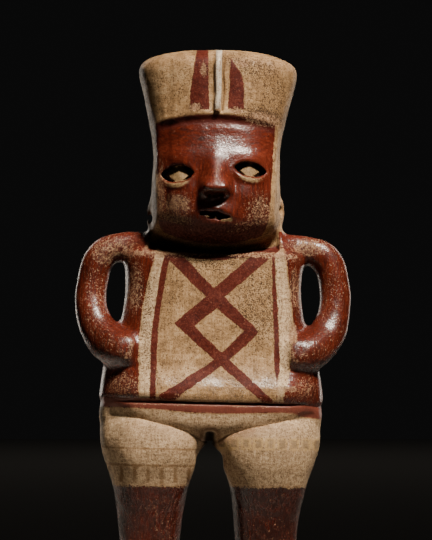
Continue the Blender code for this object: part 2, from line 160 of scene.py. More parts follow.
def neighbours(points, edges, count):
    """The middle of each point's neighbours."""
    first, second = edges.T
    total = [
        np.bincount(first, points[second, axis], count)
        + np.bincount(second, points[first, axis], count)
        for axis in range(points.shape[1])
    ]
    return np.stack(total, 1) / np.maximum(np.bincount(edges.ravel(), minlength=count), 1)[:, None]


def relax(points, edges, weight, strokes, swell=0.0):
    """Smooth the skin where the weight is. Every second stroke swells it back, if asked to."""
    used = (weight[edges] > 0).any(1)
    near, index = np.unique(edges[used], return_inverse=True)
    pairs = index.reshape(-1, 2)
    local, share = points[near], weight[near][:, None]
    for stroke in range(strokes):
        way = neighbours(local, pairs, len(near)) - local
        local = local + way * share * (-swell if swell and stroke % 2 else 1)
    points = points.copy()
    points[near] = local
    return points


def step(value, start, end):
    """0 before start, 1 after end, and a smooth rise between."""
    share = np.clip((value - start) / (end - start), 0, 1)
    return share * share * (3 - 2 * share)


def hump(value, half_width):
    """A rounded ridge of unit height round zero."""
    return np.exp(-((value / half_width) ** 2))


def swelling(points, middle, half):
    """A rounded swelling round a place on the front."""
    return hump(points[:, 0] - middle[0], half[0]) * hump(points[:, 2] - middle[1], half[1])


def almond(points, shape, grow=1.0):
    """Distance outside an almond outline, in hundredths; below zero inside it."""
    across, up = points[:, 0] - shape[0], points[:, 2] - shape[1]
    up = up - shape[4] * across
    wide, high = shape[2] * grow, shape[3] * grow
    return (np.abs(up / high) ** 1.35 + np.abs(across / wide) ** 2.3 - 1) * high * 0.75


def from_line(points, start, end):
    """Distance on the front from a straight line."""
    start, end = np.array(start), np.array(end)
    way = end - start
    offset = points[:, [0, 2]] - start
    share = np.clip(offset @ way / (way @ way), 0, 1)
    return np.linalg.norm(offset - share[:, None] * way, axis=1)


def from_arm(points):
    """How far each point is outside the arms' coils, in hundredths."""
    mirrored = np.stack([np.abs(points[:, 0]), points[:, 2], -points[:, 1]], 1)
    rows = np.array(ARM)
    nearest = np.full(len(points), 99.0)
    for start, end in zip(rows[:-1], rows[1:]):
        way = end[:3] - start[:3]
        share = np.clip((mirrored - start[:3]) @ way / (way @ way), 0, 1)
        middle = start[:3] + share[:, None] * way
        thickness = start[3] + share * (end[3] - start[3])
        nearest = np.minimum(nearest, np.linalg.norm(mirrored - middle, axis=1) - thickness)
    return nearest


def brow_edge(across):
    """Level of the headdress's lower edge over the forehead."""
    return BROW_LEVEL + BROW_ARCH * (0.5 - (across / FACE_HALF_WIDTH) ** 2)


def hem_level(across):
    """Level of the tunic's hem on the front."""
    return np.interp(across, *zip(*HEM))


def rumple(points, size, seed):
    """A smooth unevenness, each swell about this many hundredths wide."""
    shift = Vector((seed * 7.1, seed * 3.7, seed * 5.3))
    return np.array([noise.noise(Vector(point) / size + shift) for point in points])


def refine(obj, chosen):
    """Halve the spacing of the skin's points on the chosen faces."""
    only(obj)
    mesh = obj.data
    bpy.context.tool_settings.mesh_select_mode = (False, False, True)
    mesh.vertices.foreach_set("select", np.zeros(len(mesh.vertices), bool))
    mesh.edges.foreach_set("select", np.zeros(len(mesh.edges), bool))
    mesh.polygons.foreach_set("select", chosen)
    bpy.ops.object.mode_set(mode="EDIT")
    bpy.ops.mesh.subdivide(number_cuts=1, smoothness=0, ngon=False)
    bpy.ops.object.mode_set(mode="OBJECT")


def face_middles(mesh):
    """The middle of each face, in the figure's frame."""
    flat = np.empty(len(mesh.polygons) * 3, np.float32)
    mesh.polygons.foreach_get("center", flat)
    matrix = figure_frame()
    return flat.reshape(-1, 3).astype(float) @ matrix[:3, :3].T + matrix[:3, 3]


def close_cuts(points, edges):
    """Lay the skin flat again over the solid's coarse eyes and mouth, to cut them finely."""
    front = points[:, 1] < -2.5
    over = np.zeros(len(points))
    for shape in (*EYES, MOUTH):
        over = np.maximum(over, almond(points, shape, 1.45) < 0)
    return relax(points, edges, 0.9 * over * front, 900)


def blend_hands(points, edges):
    """Melt the ends of the hands into the tunic beside its painted panel."""
    across, level = np.abs(points[:, 0]), points[:, 2]
    over = step(12.9 - across, 0, 0.8) * step(across, 8.6, 9.4) * hump(level - 48.9, 3.6)
    return relax(points, edges, 0.9 * (over > 0.3) * (points[:, 1] < -3), 500)


def carve_face(points, facing):
    """Cut the eyes, mouth and nose, and shape the brow and jaw.

    Gives how far forward each point goes, how bare it is of slip, and how much painted shade
    its sockets, mouth and nostrils hold.
    """
    across, level = points[:, 0], points[:, 2]
    forward = np.zeros(len(points))
    bare = np.zeros(len(points))
    shade_in_cuts = np.zeros(len(points))
    chipped = rumple(points, 0.5, 5)
    # The eyes: a pellet in each cut socket, over a fuller lower lid with a worn rim
    for shape, pellet in zip(EYES, PELLETS):
        outside = almond(points, shape)
        below = step(shape[1] - level, -0.1, 0.9) * hump(across - shape[0], 2.3)
        forward += (0.06 + 0.12 * below) * hump(outside - 0.34, 0.3)
        forward += 0.34 * below * hump(outside - 0.75, 0.55)
        inside = step(-outside, -0.02, 0.26)
        right, up = across - pellet[0], level - pellet[1]
        lozenge = 1 - np.abs(right) / pellet[2] - np.abs(up) / pellet[3]
        crest = 1 - np.abs(right) / pellet[2] - np.abs(up + 0.35 * pellet[3]) / (0.9 * pellet[3])
        seed = step(lozenge, -0.02, 0.2) * (0.62 + 0.6 * np.clip(crest, -0.6, 0.7))
        forward += inside * (-1.5 + 1.25 * seed)
        on_pellet = step(lozenge, -0.04, 0.06)
        bare = np.maximum(bare, on_pellet * inside)
        rim = 0.78 * hump(outside - 0.66, 0.5) * below + 0.3 * hump(outside - 0.26, 0.16)
        bare = np.maximum(bare, rim * (0.9 + 0.25 * chipped))
        # Painted shade inside the socket, round the pellet
        shade_in_cuts = np.maximum(shade_in_cuts, inside * (1 - on_pellet))
    # The mouth, with crumbs of clay left in it and a chip off its lower lip
    slit = almond(points, MOUTH) + 0.36 * rumple(points, 0.8, 3) + 0.1 * chipped
    inside = step(-slit, -0.03, 0.28)
    crumb = hump(across + 1.3, 0.7) * hump(level - 71.6, 0.5)
    crumb += 0.8 * hump(across - 0.1, 0.35) * hump(level - 71.5, 0.4)
    forward += 0.1 * hump(slit - 0.6, 0.5) * step(level, 71, 72) - (1.1 - 1.15 * crumb) * inside
    # Painted shade inside the open mouth, but not on its crumbs
    shade_in_cuts = np.maximum(shade_in_cuts, inside * (1 - crumb))
    bare = np.maximum(bare, 0.85 * crumb * inside)
    lower = hump(slit - 0.24, 0.24) * step(71.9 - level, 0, 0.4)
    bare = np.maximum(bare, lower * step(across, 0.6, 1.4))
    # The nose: its wings and nostrils, its bridge, the hollow under it, and the upper lip
    for side in (-1, 1):
        nostril = swelling(points, (side * 0.95, 75.1), (0.4, 0.3))
        forward += 1.05 * swelling(points, (0.05 + side * 1.75, 76.5), (0.8, 1.1))
        forward -= (0.4 + 0.15 * side) * swelling(points, (0.05 + side * 2.9, 76.8), (0.9, 1.8))
        forward -= 0.5 * nostril
        # Painted shade in the nostrils
        shade_in_cuts = np.maximum(shade_in_cuts, 0.8 * nostril)
    forward += 0.6 * swelling(points, (0, 79.6), (2.0, 3.4))
    above_foot = level - NOSE_FOOT
    under_nose = np.where(above_foot > 0, above_foot / 0.62, above_foot / 0.95)
    narrowing = np.interp(level, (73.4, 75.2), (0.9, 1.8))
    forward -= 1.3 * hump((across - 0.1) / narrowing, 1) * hump(under_nose, 1)
    forward += 0.2 * swelling(points, (0.1, 73.2), (2.4, 0.8))
    # The brow under the headdress's edge, and the fullness of the face and jaw
    under = brow_edge(across) - level
    on_face = step(FACE_HALF_WIDTH + 0.3 - np.abs(across), 0, 1.4)
    middle = step(FACE_HALF_WIDTH - np.abs(across), 0.5, 3)
    forward += on_face * (0.12 * hump(under + 0.3, 0.55) - 0.22 * middle * hump(under - 0.9, 0.9))
    round_head = np.sqrt(np.clip(1.0 - (across / 10.8) ** 2, 0, 1))
    forward += np.interp(level, *zip(*MASK)) * round_head
    corners = step(np.abs(across), 3.5, 9) * step(11.2 - np.abs(across), 0, 0.8)
    forward -= 1.3 * corners * hump(level - 67.6, 2.6)
    front = points[:, 1] < -2
    return forward * facing, bare * front, shade_in_cuts * front


def carve_headdress(points, facing):
    """Sharpen the fillet and the grooves beside it."""
    across, level = points[:, 0], points[:, 2]
    above = step(level, 88.9, 89.3)
    sway = across - 0.08 - 0.1 * np.sin(level * 0.9)
    flat_top = step(0.5 - np.abs(sway), -0.12, 0.14)
    fillet = 0.36 * flat_top - 0.6 * hump(sway - 0.78, 0.2) - 0.12 * hump(sway + 0.8, 0.25)
    return above * fillet * facing


def carve_body(points, facing):
    """Cut the hem's line and the creases of the hips, and fill out chest, belly and thighs."""
    across, level = points[:, 0], points[:, 2]
    cut = level - hem_level(across) * facing - (1 - facing) * HEM_BEHIND
    clear = step(16.5 - np.abs(across), 0, 3)
    clear *= 1 - 0.7 * step(across, 8, 11)
    outward = (0.3 + 0.7 * facing * clear) * (0.12 * hump(cut - 0.75, 0.7) - 0.25 * hump(cut, 0.16))
    outward += 0.06 * hump(cut + 0.85, 0.5) * facing
    crease = level - 35.2 - 0.22 * np.abs(across)
    share = step(crease, -0.6, 0.6)
    belly = share * np.interp(level, *zip(*BELLY)) * step(41.0 - level, -0.1, 0.3)
    belly += THIGHS * (1 - share) * step(level, 21, 34.5)
    outward += belly * facing * step(17 - np.abs(across), 0, 5)
    outward += np.interp(level, *zip(*CHEST)) * facing * step(17 - np.abs(across), 0, 5)
    left = from_line(points, *CREASE_ON_LEFT)
    right = from_line(points, *CREASE_ON_RIGHT)
    fade = step(13.5 - np.abs(across), 0, 5)
    outward += 0.3 * facing * fade * np.maximum(hump(left, 1.3), hump(right, 1.3))
    outward -= facing * fade * (0.26 * hump(left, 0.42) + 0.5 * hump(right, 0.38))
    return outward + 0.65 * facing * swelling(points, (13.2, 43.2), (2.8, 1.4))


def part_legs(points):
    """Round out the arch between the legs, and cut the short slot above it.

    Gives the moved points and how deep in the slot each one is.
    """
    aside, level = points[:, 0] - 0.15, points[:, 2]
    near = hump(np.abs(aside) - 1.0, 1.7) * hump(level - 32.3, 1.9)
    points[:, 0] += 0.75 * np.sign(aside) * np.minimum(np.abs(aside) / 0.8, 1) * near
    slot = hump(aside + 0.15, 0.7) * step(36.4 - level, 0, 0.6) * step(level, 30.5, 31.5)
    points[:, 1] += slot * np.clip(-2.2 - points[:, 1], 0, 4.5)
    return points, slot * (points[:, 1] < 0)


def pile_of_patches(points, patches):
    """How far inside some oval patches each point is: up to the deepest patch's strength."""
    deep = np.zeros(len(points))
    for across, level, half_across, half_level, strength in patches:
        offset = np.hypot(
            (points[:, 0] - across) / half_across, (points[:, 2] - level) / half_level
        )
        deep = np.maximum(deep, strength * step(1.25 - offset, 0, 0.9))
    return deep


# Where hands and soil have rubbed the slip away on the front: across, level, half sizes, strength
RUBBED = (
    (15.9, 67.5, 4.0, 2.0, 0.78),
    (7.8, 88.3, 4.6, 1.5, 0.8),
    (-2.4, 96.2, 0.7, 1.5, 1.2),
    (-3.7, 89.9, 1.3, 0.8, 1.2),
    (3.2, 89.4, 1.5, 0.7, 1.0),
    (4.2, 97.4, 1.6, 1.0, 0.8),
    (13.5, 52.6, 0.9, 2.4, 1.2),
    (-6.3, 73.6, 3.2, 2.2, 0.86),
    (-6.8, 70.4, 3.8, 3.6, 0.74),
    (0.2, 78.4, 0.9, 2.4, 0.35),
    (-9.2, 75.0, 1.2, 7.0, 0.8),
    (7.6, 72.4, 3.0, 4.0, 0.64),
    (5.6, 69.6, 4.2, 1.8, 0.68),
    (-17.0, 66.0, 5.5, 3.4, 0.7),
    (-20.0, 58.0, 3.0, 9.0, 0.42),
    (20.0, 58.0, 3.0, 9.0, 0.32),
    (-13.2, 60.0, 2.0, 6.0, 0.7),
    (13.8, 60.0, 1.6, 5.0, 0.6),
    (-15.0, 43.5, 4.0, 3.0, 0.58),
    (15.5, 43.5, 3.0, 3.0, 0.48),
    (-9.0, 15.0, 8.0, 14.0, 0.22),
    (9.0, 15.0, 8.0, 14.0, 0.18),
)
# Where smoke and soil have pitted and darkened it, and, in the last row, where painted shade
# lies under the chin and jaw: across, level, half sizes, strength
SOOT_AND_CHIN_SHADE = (
    (7.6, 88.9, 4.6, 1.8, 1.3),
    (9.5, 92.5, 2.5, 3.0, 0.8),
    (6.5, 96.6, 4.5, 2.2, 0.9),
    (2.5, 98.5, 3.0, 1.6, 0.9),
    (-7.0, 94.5, 4.5, 4.0, 0.3),
    (7.5, 57.0, 5.0, 7.5, 0.85),
    (9.6, 64.0, 3.0, 3.0, 0.4),
    (1.5, 62.5, 7.0, 4.0, 0.35),
    (-7.0, 59.0, 2.5, 5.0, 0.3),
    (12.6, 50.0, 1.4, 9.0, 0.6),
    (-10.9, 54.0, 1.4, 13.0, 0.8),
    (-9.0, 30.0, 7.0, 3.4, 0.2),
    (9.0, 33.0, 7.0, 4.0, 0.1),
    # Painted shade under the chin and jaw
    (-0.6, 66.8, 11.5, 4.6, 1.0),
)


def float_attribute(mesh, name, values):
    """Keep a number for each point on the mesh, for its material to read."""
    layer = mesh.attributes.new(name, "FLOAT", "POINT")
    layer.data.foreach_set("value", np.asarray(values, np.float32))


def shift_ears(points):
    """Move the pierced ears to where the hand put them, the right one lower than the left."""
    across, level = points[:, 0], points[:, 2]
    right = hump(across + 11.0, 1.5) * hump(level - 73.0, 2.6)
    left = hump(across - 11.0, 1.5) * hump(level - 73.4, 2.6)
    points[:, 2] += 0.4 * left - 1.5 * right
    points[:, 0] += 0.45 * right - 0.25 * left
    return points


def refine_carved_places(figure):
    """Put the skin's points closer where it is to be carved: twice as close, then four times."""
    mesh = figure.data
    middles = face_middles(mesh)
    across, level = np.abs(middles[:, 0]), middles[:, 2]
    front = middles[:, 1] < -3.0
    near = front & (level > 66.5) & (level < 90.5) & (across < 10.4)
    near |= front & (level > 88) & (across < 2.4)
    near |= front & (np.abs(level - hem_level(middles[:, 0])) < 1.6)
    toes = (middles[:, 1] < -6.5) & (level > 0.5) & (level < 5)
    refine(figure, near | toes)
    middles = face_middles(mesh)
    finest = (np.abs(middles[:, 0]) < 3.4) & (np.abs(middles[:, 2] - 75.2) < 1.7)
    for shape in (*EYES, MOUTH):
        finest |= almond(middles, shape, 1.4) < 0
    refine(figure, finest & (middles[:, 1] < -3.0))


def mark_wear(mesh):
    """Keep where edges are worn, where hollows take painted shade, and where patches lie: of
    wear, of soot, and of the painted shade under the chin.
    """
    points, edges, normals = read_points(mesh), read_edges(mesh), read_normals(mesh)
    everywhere = np.full(len(points), 0.6)
    fine = ((relax(points, edges, everywhere, 6) - points) * normals).sum(1)
    broad = ((relax(points, edges, everywhere, 40) - points) * normals).sum(1)
    on_face = step(10.5 - np.abs(points[:, 0]), 0, 1) * step(points[:, 2], 66, 68)
    on_face *= step(89 - points[:, 2], 0, 1) * (normals[:, 1] < 0)
    worn = np.clip(-fine * 9 - broad * 1.6 - 0.3, 0, 1) * (1 - 0.85 * on_face)
    towards_front = step(-normals[:, 1], -0.1, 0.3)
    towards_light = step(-normals[:, 1] + normals[:, 2], -0.1, 0.3)
    float_attribute(mesh, "edge_wear", worn)
    # How hollow each place is, for the painted shade in hollows and creases
    float_attribute(mesh, "crease_shade", np.clip(fine * 6 + broad * 1.2 - 0.4, 0, 1))
    float_attribute(mesh, "rubbed", pile_of_patches(points, RUBBED) * towards_light)
    float_attribute(mesh, "soot_and_chin_shade", pile_of_patches(points, SOOT_AND_CHIN_SHADE) * towards_front)
    float_attribute(mesh, "arm", step(0.45 - from_arm(points), 0, 0.25))


def model_figure(solid):
    """Work the solid's skin finely: smooth away its facets, then carve what a tool would."""
    figure = bpy.data.objects.new("painted_figure", solid.data.copy())
    bpy.context.scene.collection.objects.link(figure)
    only(figure)
    bpy.ops.object.mode_set(mode="EDIT")
    bpy.ops.mesh.select_all(action="SELECT")
    bpy.ops.mesh.remove_doubles(threshold=1e-5)
    bpy.ops.object.mode_set(mode="OBJECT")
    apply_modifier(figure, "REMESH", mode="VOXEL", voxel_size=SKIN)
    mesh = figure.data
    points, edges = read_points(mesh), read_edges(mesh)
    points = blend_hands(close_cuts(points, edges), edges)
    on_slab = step(-points[:, 2], -0.6, 0.2)
    holes = np.maximum(*(swelling(points, hole, (1.3, 2.2)) for hole in EAR_HOLES))
    weight = 0.62 * (1 - 0.93 * np.clip(2 * holes, 0, 1)) * (1 - 0.9 * on_slab)
    write_points(mesh, shift_ears(relax(points, edges, weight, 64, swell=1.02)))
    refine_carved_places(figure)

    points, edges = read_points(mesh), read_edges(mesh)
    off_slab = step(points[:, 2], 0.1, 0.8)
    points = relax(points, edges, 0.6 * off_slab, 8, swell=1.02)
    write_points(mesh, points)
    normals = read_normals(mesh)
    facing = step(-normals[:, 1], 0.12, 0.5)
    forward, bare, shade_in_cuts = carve_face(points, facing * step(points[:, 2], 65.5, 67))
    forward += carve_headdress(points, facing)
    off_arm = step(from_arm(points), 0.2, 0.6)
    outward = carve_body(points, facing * off_arm)
    uneven = 0.16 * rumple(points, 5.0, 1) + 0.05 * rumple(points, 1.6, 2)
    outward += uneven * off_slab * (1 - step(forward, 0.2, 0.5))
    points[:, 1] -= forward
    points, slot = part_legs(points + normals * outward[:, None])
    # Painted shade deep in the slot between the legs
    shade_in_cuts = np.maximum(shade_in_cuts, 1.6 * slot)
    write_points(mesh, relax(points, edges, 0.35 * off_slab, 2))
    float_attribute(mesh, "bare", np.clip(bare, 0, 1))
    float_attribute(mesh, "shade_in_cuts", np.clip(shade_in_cuts, 0, 1))
    triangles = sum(len(face.vertices) - 2 for face in mesh.polygons)
    apply_modifier(figure, "DECIMATE", ratio=min(1, TRIANGLES / triangles))
    mark_wear(mesh)
    mesh.shade_smooth()
    return figure


def linear(code):
    """An sRGB hex colour, turned linear."""
    values = [int(code[i : i + 2], 16) / 255 for i in (1, 3, 5)]
    return (*(v / 12.92 if v <= 0.04045 else ((v + 0.055) / 1.055) ** 2.4 for v in values), 1)


def add(tree, kind, *inputs, out=0, colours=None, **settings):
    """Add a node with its settings, set or link its inputs in order, and give its output."""
    node = tree.nodes.new("ShaderNode" + kind)
    for name, value in settings.items():
        setattr(node, name, value)
    if colours:
        stops = node.color_ramp.elements
        while len(stops) < len(colours):
            stops.new(0.5)
        for index, (stop, colour) in enumerate(zip(stops, colours)):
            stop.position = index / (len(colours) - 1)
            stop.color = linear(colour)
    sockets = [socket for socket in node.inputs if socket.enabled]
    for socket, value in zip(sockets, inputs):
        if isinstance(value, bpy.types.NodeSocket):
            tree.links.new(value, socket)
        elif value is not None:
            socket.default_value = value
    return [socket for socket in node.outputs if socket.enabled][out]


def hand_line(tree, along, rows):
    """A line drawn by hand: where it is at each place along it, smooth through the given rows."""
    start, end = rows[0][0], rows[-1][0]
    low = min(value for _, value in rows) - 0.5
    high = max(value for _, value in rows) + 0.5
    share = add(tree, "MapRange", along, start, end, 0.0, 1.0)
    curve = tree.nodes.new("ShaderNodeFloatCurve")
    points = curve.mapping.curves[0].points
    while len(points) < len(rows):
        points.new(0.5, 0.5)
    for point, (place, value) in zip(points, rows):
        point.location = ((place - start) / (end - start), (value - low) / (high - low))
    curve.mapping.update()
    tree.links.new(share, curve.inputs["Value"])
    return add(tree, "MapRange", curve.outputs["Value"], 0.0, 1.0, low, high)


def gather(tree, operation, *values):
    """The lowest or highest of some distances: inside all of their edges, or inside any."""
    result = values[0]
    for value in values[1:]:
        result = add(tree, "Math", result, value, operation=operation)
    return result


def within(tree, value, middle, half):
    """How far inside a strip a value is: half a width less its distance from the middle."""
    away = add(tree, "Math", value, middle, operation="SUBTRACT")
    away = add(tree, "Math", away, operation="ABSOLUTE")
    return add(tree, "Math", half, away, operation="SUBTRACT")


def stroke(tree, place, start, end, half_start, half_end):
    """How far inside a brush stroke a place on the front is. It tapers from start to end."""
    start, end = Vector((start[0], 0, start[1])), Vector((end[0], 0, end[1]))
    way = end - start
    offset = add(tree, "VectorMath", place, start, operation="SUBTRACT")
    share = add(tree, "VectorMath", offset, way / way.length_squared, operation="DOT_PRODUCT")
    share = add(tree, "Math", share, 0.0, operation="ADD", use_clamp=True)
    nearest = add(tree, "VectorMath", way, share, operation="SCALE")
    gap = add(tree, "VectorMath", offset, nearest, operation="DISTANCE")
    half = add(tree, "Math", share, half_end - half_start, half_start, operation="MULTIPLY_ADD")
    return add(tree, "Math", half, gap, operation="SUBTRACT")


def outline(tree, place, corners):
    """How far inside a convex outline on the front a place is. The corners go clockwise."""
    reaches = []
    for start, end in zip(corners, corners[1:] + corners[:1]):
        way = Vector((end[0] - start[0], 0, end[1] - start[1])).normalized()
        inward = Vector((way.z, 0, -way.x))
        reach = add(tree, "VectorMath", place, inward, operation="DOT_PRODUCT")
        edge = inward.dot(Vector((start[0], 0, start[1])))
        reaches.append(add(tree, "Math", reach, edge, operation="SUBTRACT"))
    return gather(tree, "MINIMUM", *reaches)


def cloud(tree, place, size, detail=2.0, roughness=0.5, stretch=(1, 1, 1)):
    """Soft patches about this many hundredths across, drawn out where the stretch says."""
    scale = tuple(1 / (size * part) for part in stretch)
    place = add(tree, "VectorMath", place, scale, operation="MULTIPLY")
    return add(tree, "TexNoise", place, 1.0, detail, roughness)


def coat(tree, under, over, cover):
    """Lay one finish over another where it covers: colour, roughness and thickness together."""
    kinds = ("RGBA", "FLOAT", "FLOAT")
    return tuple(
        add(tree, "Mix", cover, low, high, data_type=kind)
        for kind, low, high in zip(kinds, under, over)
    )


# The tunic's edges and stripes: level, across
PANEL_LEFT = (
    (38, -11.8), (46, -12.1), (51, -12.2), (56, -11.8), (61, -11.0), (65.4, -9.9), (69, -9.2),
)
PANEL_RIGHT = (
    (38, 11.9), (42.5, 12.1), (45, 12.9), (49.5, 13.2), (53.5, 13.6), (58, 13.2), (61.5, 12.7),
    (69, 11.2),
)
STRIPE_LEFT = (
    (38, -9.5), (45, -9.65), (50, -9.65), (53.6, -9.45), (58.5, -8.9), (63, -8.2), (69, -7.2),
)
STRIPE_RIGHT = ((38, 10.95), (45.4, 10.9), (49.5, 10.85), (55, 10.55), (61, 10.15), (69, 9.8))
# Half the stripes' width: the same all the way on one side, and at each level on the other
STRIPE_LEFT_HALF = 0.5
STRIPE_RIGHT_HALF = (
    (38, 0.0), (44, 0.05), (46.5, 0.38), (52, 0.45), (58, 0.38), (65, 0.24), (69, 0.22),
)
# The red face's side edge: level, across
CHEEK = ((64, 7.0), (68.4, 7.9), (71, 9.1), (76, 9.4), (82, 9.75), (90, 10.1))
# The collar and the lower edge of the hem's band: across, level
COLLAR = (
    (-14, 68.2), (-8.2, 66.6), (-5.7, 65.9), (-0.5, 65.2), (4.3, 65.6), (9.5, 66.9), (14, 68.4),
)
BAND_FOOT = ((-20, 39.9), (-11.7, 39.8), (0.8, 39.2), (13.2, 39.5), (15, 39.0), (20, 38.5))
# The painted cross: its four strokes with half their width at each end, and the lozenge
CROSS = (
    ((-7.6, 66.2), (-0.3, 59.0), 1.1, 1.0),
    ((9.9, 67.3), (0.5, 58.8), 1.2, 1.1),
    ((1.1, 47.6), (-7.6, 41.3), 0.75, 1.05),
    ((2.2, 47.6), (9.6, 41.2), 0.85, 0.72),
)
LOZENGE_OUTER = [(0.4, 60.0), (7.9, 52.8), (1.7, 46.9), (-6.4, 54.0)]
LOZENGE_INNER = [(0.7, 56.6), (5.2, 53.0), (1.7, 49.2), (-3.1, 53.6)]
# The headdress's two bands: their outlines, clockwise
BAND_LEFT = [(-3.5, 101), (-1.8, 101), (-1.35, 89.5), (-4.5, 89.5), (-4.6, 92.5)]
BAND_RIGHT = [(2.0, 98.3), (3.9, 95.4), (4.5, 92.6), (4.4, 89.7), (1.85, 89.7)]


def painted_terracotta():
    """Low-fired buff clay, dipped in cream and iron-red slips and rubbed with a pebble.

    The slip takes a soft shine in short strokes. Matt red paint is drawn over the cream, and
    handling and earth have rubbed specks and patches back to the clay. Near-black painted shade
    fills the cuts and creases and lies under the jaw.
    """
    material = bpy.data.materials.new("burnished_slip_on_terracotta")
    material.use_nodes = True
    tree = material.node_tree
    tree.nodes.clear()
    metres = add(tree, "TexCoord", out=OBJECT_OUTPUT)
    shift = Matrix.Rotation(-LEAN, 3, "Y") @ (-SOLES / PART)
    place = add(
        tree, "Mapping", metres, tuple(shift), (0, -LEAN, 0), (1 / PART,) * 3, vector_type="POINT"
    )
    across, back, level = (add(tree, "SeparateXYZ", place, out=axis) for axis in range(3))
    sideways = add(tree, "Math", across, operation="ABSOLUTE")
    edge_wear, shade_in_cuts, crease_shade, rubbed, soot_and_chin_shade, bare, arm = (
        add(
            tree, "Attribute", attribute_name=name, attribute_type="GEOMETRY", out=FACTOR_OUTPUT
        )
        for name in ("edge_wear", "shade_in_cuts", "crease_shade", "rubbed", "soot_and_chin_shade", "bare", "arm")
    )

    # Patterns in the clay and slip. One hundredth is 3.85 mm.
    broad = cloud(tree, place, 7.0, 2.0)
    middling = cloud(tree, place, 1.6, 3.0, 0.6)
    mottle = cloud(tree, place, 0.42, 2.0, 0.6)
    grit = cloud(tree, place, 0.17, 1.0, 0.5)
    stains = cloud(tree, place, 2.7, 4.0, 0.68)
    upright = cloud(tree, place, 0.30, 2.0, 0.6, (1, 1, 9))
    level_strokes = cloud(tree, place, 0.34, 3.0, 0.6, (3, 3, 1))
    forehead = add(tree, "MapRange", level, 80.0, 83.0, 0.0, 1.0)
    rubs = add(tree, "Mix", forehead, upright, level_strokes, data_type="FLOAT")
    wobble = add(tree, "Math", middling, 0.6, -0.3, operation="MULTIPLY_ADD")
    wobble = add(tree, "Math", mottle, 0.4, wobble, operation="MULTIPLY_ADD")
    wobble = add(tree, "Math", wobble, 0.2, operation="SUBTRACT")

    # How far each place is inside the edges of the slips and painted marks
    hem = add(tree, "Math", level, hand_line(tree, across, HEM), operation="SUBTRACT")
    collar = add(tree, "Math", hand_line(tree, across, COLLAR), level, operation="SUBTRACT")
    above_collar = add(tree, "Math", collar, -1.0, operation="MULTIPLY")
    front = add(tree, "Math", -0.6, back, operation="SUBTRACT")
    off_arm = add(tree, "Math", arm, -4.0, 2.0, operation="MULTIPLY_ADD")
    panel_left = hand_line(tree, level, PANEL_LEFT)
    panel_right = hand_line(tree, level, PANEL_RIGHT)
    tunic = gather(tree, "MINIMUM", hem, collar, front)
    panel = gather(
        tree, "MINIMUM", tunic,
        add(tree, "Math", across, panel_left, operation="SUBTRACT"),
        add(tree, "Math", panel_right, across, operation="SUBTRACT"),
    )
    arch = add(tree, "Math", across, across, operation="MULTIPLY")
    brow = add(
        tree, "Math", arch, -BROW_ARCH / FACE_HALF_WIDTH**2, BROW_LEVEL + 0.5 * BROW_ARCH,
        operation="MULTIPLY_ADD",
    )
    below_brow = add(tree, "Math", brow, level, operation="SUBTRACT")
    jaw = add(tree, "Math", arch, 0.026, 67.3, operation="MULTIPLY_ADD")
    askew = add(tree, "Math", across, 0.25, operation="ADD")
    askew = add(tree, "Math", askew, operation="ABSOLUTE")
    cheek = add(tree, "Math", hand_line(tree, level, CHEEK), askew, operation="SUBTRACT")
    above_jaw = add(tree, "Math", level, jaw, operation="SUBTRACT")
    before_ears = add(tree, "Math", -3.4, back, operation="SUBTRACT")
    face = gather(tree, "MINIMUM", cheek, below_brow, above_jaw, before_ears)
    head = gather(
        tree, "MAXIMUM",
        add(tree, "Math", level, 69.9, operation="SUBTRACT"),
        gather(
            tree, "MINIMUM", above_collar, off_arm,
            add(tree, "Math", 10.9, sideways, operation="SUBTRACT"),
        ),
    )
    head = gather(tree, "MINIMUM", head, add(tree, "Math", face, -1.0, operation="MULTIPLY"))
    shin_top = add(tree, "Math", across, 0.012, 25.2, operation="MULTIPLY_ADD")
    shin_top = add(tree, "Math", mottle, 2.2, shin_top, operation="MULTIPLY_ADD")
    shin_top = add(tree, "Math", middling, 1.2, shin_top, operation="MULTIPLY_ADD")
    above_shins = add(tree, "Math", level, shin_top, operation="SUBTRACT")
    below_band = add(tree, "Math", hand_line(tree, across, BAND_FOOT), level, operation="SUBTRACT")
    thighs = gather(tree, "MINIMUM", above_shins, below_band)
    ring = gather(
        tree, "MINIMUM", outline(tree, place, LOZENGE_OUTER),
        add(tree, "Math", outline(tree, place, LOZENGE_INNER), -1.0, operation="MULTIPLY"),
    )
    front_place = add(tree, "VectorMath", place, (1, 0, 1), operation="MULTIPLY")
    stripes = gather(
        tree, "MAXIMUM", ring,
        within(tree, across, hand_line(tree, level, STRIPE_LEFT), STRIPE_LEFT_HALF),
        within(
            tree, across, hand_line(tree, level, STRIPE_RIGHT),
            hand_line(tree, level, STRIPE_RIGHT_HALF),
        ),
        *(stroke(tree, front_place, *values) for values in CROSS),
    )
    neckline = gather(tree, "MINIMUM", within(tree, collar, 0.0, 0.42), front, off_arm)
    bands = gather(
        tree, "MAXIMUM", outline(tree, place, BAND_LEFT), outline(tree, place, BAND_RIGHT)
    )
    marks = gather(
        tree, "MAXIMUM", gather(tree, "MINIMUM", stripes, tunic), neckline,
        gather(tree, "MINIMUM", bands, front),
    )
    fillet = gather(
        tree, "MINIMUM", within(tree, across, 0.1, 0.5), front,
        add(tree, "Math", level, 89.5, operation="SUBTRACT"),
    )
    shaded_brow_band = gather(tree, "MINIMUM", within(tree, below_brow, 0.6, 0.75), cheek, before_ears)

    def covered(distance, softness=0.07, shake=1.0):
        """A soft, unsteady painted edge from a distance inside it."""
        distance = add(tree, "Math", wobble, shake, distance, operation="MULTIPLY_ADD")
        return add(
            tree, "MapRange", distance, -softness, softness, 0.0, 1.0,
            interpolation_type="SMOOTHSTEP",
        )

    # Buff clay with grit, where nothing covers it
    speckle = add(tree, "Math", mottle, grit, operation="ADD")
    speckle = add(tree, "MapRange", speckle, 0.6, 1.4, 0.0, 1.0)
    clay = (add(tree, "ValToRGB", speckle, colours=("#4A3322", "#7D5E46", "#B49474")), 0.68, 0.0)
